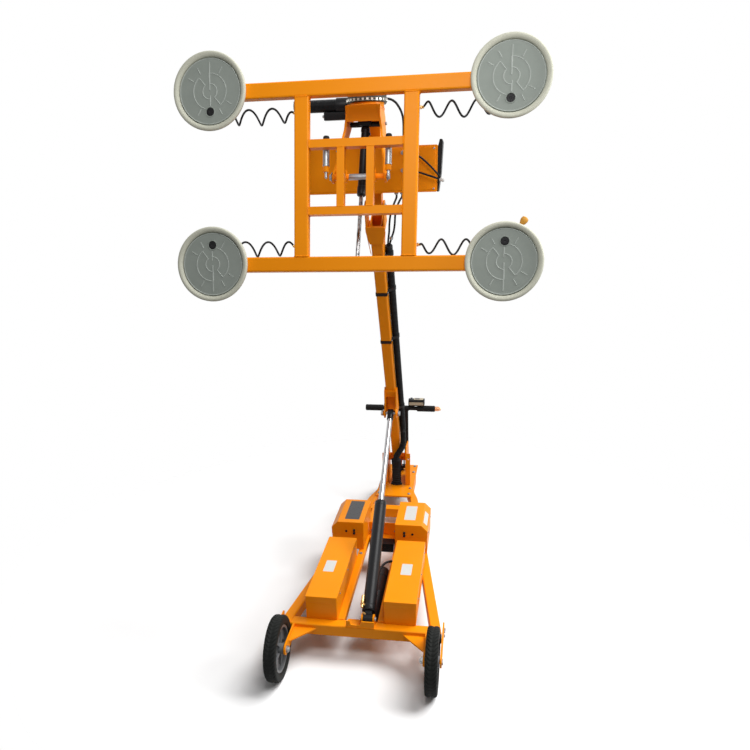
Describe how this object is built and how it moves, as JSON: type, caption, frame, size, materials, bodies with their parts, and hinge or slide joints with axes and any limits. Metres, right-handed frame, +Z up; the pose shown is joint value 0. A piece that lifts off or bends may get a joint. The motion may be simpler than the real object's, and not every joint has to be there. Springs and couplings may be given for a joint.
{
  "type": "vacuum glass lifter",
  "caption": "Wheeled electric glass lifter: hydraulic boom on a tapering chassis, with a tilting, slewing tubular frame of round suction pads and a tiller.",
  "frame": {"origin": "middle of the machine's outline on the floor", "axes": "+Z up; the suction pads and front wheels face -Y, the tiller is at +Y; +X is right seen from the front"},
  "size_m": [1.501, 2.32, 2.6786],
  "materials": {
    "orange_paint": "glossy powder coat",
    "housing": "glossy orange powder coat",
    "black_paint": "satin black",
    "chrome_rod": "polished",
    "rim": "cast, satin",
    "tyre_rubber": "matte",
    "pad_rubber": "matte grey with a pale rim",
    "hose_rubber": "matte black",
    "grip_rubber": "matte black",
    "black_plastic": "fine grain",
    "black_knob": "satin"
  },
  "bodies": {
    "chassis": {"front_beam": "orange_paint", "side_rail_left": "orange_paint", "side_rail_right": "orange_paint", "inner_rail_left": "orange_paint", "inner_rail_right": "orange_paint", "cross_member_mid": "orange_paint", "cross_member_rear": "orange_paint", "mast_foot": "orange_paint", "wheel_bracket_left": "orange_paint", "wheel_bracket_right": "orange_paint", "axle_plate_left": "orange_paint", "axle_plate_right": "orange_paint", "battery_box_left": "housing", "battery_box_right": "housing", "cabinet_left": "housing", "cabinet_right": "housing", "hydraulic_tank": "black_paint", "cylinder_saddle": "orange_paint", "hydraulic_hose": "hose_rubber"},
    "front_wheel_left": {"tyre_left": "tyre_rubber", "rim_left": "rim"},
    "front_wheel_right": {"tyre_right": "tyre_rubber", "rim_right": "rim"},
    "boom_arm": {"boom": "orange_paint", "boom_head": "orange_paint", "rod_bracket": "orange_paint", "hose_sleeve": "hose_rubber"},
    "lift_cylinder": {"lift_barrel": "black_paint"},
    "lift_piston": {"lift_rod": "chrome_rod"},
    "head": {"head_column": "orange_paint", "pump_box": "housing", "pump_handle": "black_paint", "slew_housing": "black_paint", "slew_motor": "black_paint", "pump_hose": "hose_rubber"},
    "slewing_yoke": {"yoke": "orange_paint"},
    "suction_frame": {"frame_beam_top": "orange_paint", "frame_beam_bottom": "orange_paint", "frame_post_left": "orange_paint", "frame_post_right": "orange_paint", "frame_ladder": "orange_paint", "pad_top_left": "pad_rubber", "pad_top_right": "pad_rubber", "pad_bottom_left": "pad_rubber", "pad_bottom_right": "pad_rubber", "vacuum_hose_top_left": "hose_rubber", "vacuum_hose_top_right": "hose_rubber", "vacuum_hose_bottom_left": "hose_rubber", "vacuum_hose_bottom_right": "hose_rubber"},
    "tilt_cylinder": {"tilt_barrel": "black_paint"},
    "tilt_piston": {"tilt_rod": "chrome_rod"},
    "lock_pin_left": {"latch_left": "black_knob"},
    "lock_pin_right": {"latch_right": "black_knob"},
    "steering": {"drive_housing": "black_paint"},
    "rear_wheel": {"drive_wheel": "tyre_rubber"},
    "tiller": {"tiller_column": "black_paint", "tiller_bar": "grip_rubber", "instrument": "black_plastic"},
    "thumb_throttle": {"throttle": "black_plastic"},
    "horn": {"horn_button": "black_plastic"}
  },
  "joints": [
    {"name": "left_wheel_spin", "type": "hinge", "parent": "chassis", "child": "front_wheel_left", "pos_m": [-0.36, -1.005, 0.155], "axis": [1, 0, 0], "continuous": true},
    {"name": "right_wheel_spin", "type": "hinge", "parent": "chassis", "child": "front_wheel_right", "pos_m": [0.36, -1.005, 0.155], "axis": [1, 0, 0], "continuous": true},
    {"name": "boom_lift", "type": "hinge", "parent": "chassis", "child": "boom_arm", "pos_m": [0, 0.895, 0.37], "axis": [1, 0, 0], "range_deg": [0, 35]},
    {"name": "lift_cylinder_swing", "type": "hinge", "parent": "chassis", "child": "lift_cylinder", "pos_m": [0.04, -0.815, 0.222], "axis": [1, 0, 0], "range_deg": [-10.5, 0.5]},
    {"name": "lift_piston_stroke", "type": "slide", "parent": "lift_cylinder", "child": "lift_piston", "axis": [-0.0278, 0.9093, 0.4153], "range_m": [-0.283, 0.003]},
    {"name": "head_level", "type": "hinge", "parent": "boom_arm", "child": "head", "pos_m": [0, -0.05542, 2.04978], "axis": [1, 0, 0], "range_deg": [-40, 10]},
    {"name": "head_slew", "type": "hinge", "parent": "head", "child": "slewing_yoke", "pos_m": [0, -0.255, 2.4867], "axis": [0, 0, 1], "range_deg": [-30, 30]},
    {"name": "frame_tilt", "type": "hinge", "parent": "slewing_yoke", "child": "suction_frame", "pos_m": [0, -0.505, 2.19], "axis": [1, 0, 0], "range_deg": [-8, 20]},
    {"name": "tilt_cylinder_swing", "type": "hinge", "parent": "slewing_yoke", "child": "tilt_cylinder", "pos_m": [0, -0.305, 2.4], "axis": [1, 0, 0], "range_deg": [-5, 12]},
    {"name": "tilt_piston_stroke", "type": "slide", "parent": "tilt_cylinder", "child": "tilt_piston", "axis": [0, -0.5106, -0.8598], "range_m": [-0.033, 0.014]},
    {"name": "lock_pin_left_pull", "type": "slide", "parent": "suction_frame", "child": "lock_pin_left", "axis": [0, 0.2351, 0.972], "range_m": [0, 0.02], "stiffness_N_per_m": 300, "springref_m": -0.02},
    {"name": "lock_pin_right_pull", "type": "slide", "parent": "suction_frame", "child": "lock_pin_right", "axis": [0, 0.2351, 0.972], "range_m": [0, 0.02], "stiffness_N_per_m": 300, "springref_m": -0.02},
    {"name": "steer", "type": "hinge", "parent": "chassis", "child": "steering", "pos_m": [0, 1.065, 0.17], "axis": [0, 0, 1], "range_deg": [-45, 45]},
    {"name": "rear_wheel_spin", "type": "hinge", "parent": "steering", "child": "rear_wheel", "pos_m": [0, 1.065, 0.08], "axis": [1, 0, 0], "continuous": true},
    {"name": "tiller_tilt", "type": "hinge", "parent": "steering", "child": "tiller", "pos_m": [0.045, 1.065, 0.3], "axis": [1, 0, 0], "range_deg": [-70, 0]},
    {"name": "throttle_turn", "type": "hinge", "parent": "tiller", "child": "thumb_throttle", "pos_m": [-0.102, 1.045, 0.675], "axis": [1, 0, 0], "range_deg": [0, 25], "stiffness_Nm_per_rad": 0.5, "springref_deg": -17.19},
    {"name": "horn_press", "type": "slide", "parent": "tiller", "child": "horn", "axis": [0, 0, -1], "range_m": [0, 0.003], "stiffness_N_per_m": 300, "springref_m": -0.003}
  ],
  "couplings": [
    {"joint": "lift_cylinder_swing", "follows": "boom_lift", "ratio": -0.29213},
    {"joint": "lift_piston_stroke", "follows": "boom_lift", "m_per_rad": -0.45821},
    {"joint": "tilt_cylinder_swing", "follows": "frame_tilt", "ratio": 0.565},
    {"joint": "tilt_piston_stroke", "follows": "frame_tilt", "m_per_rad": -0.0905}
  ]
}
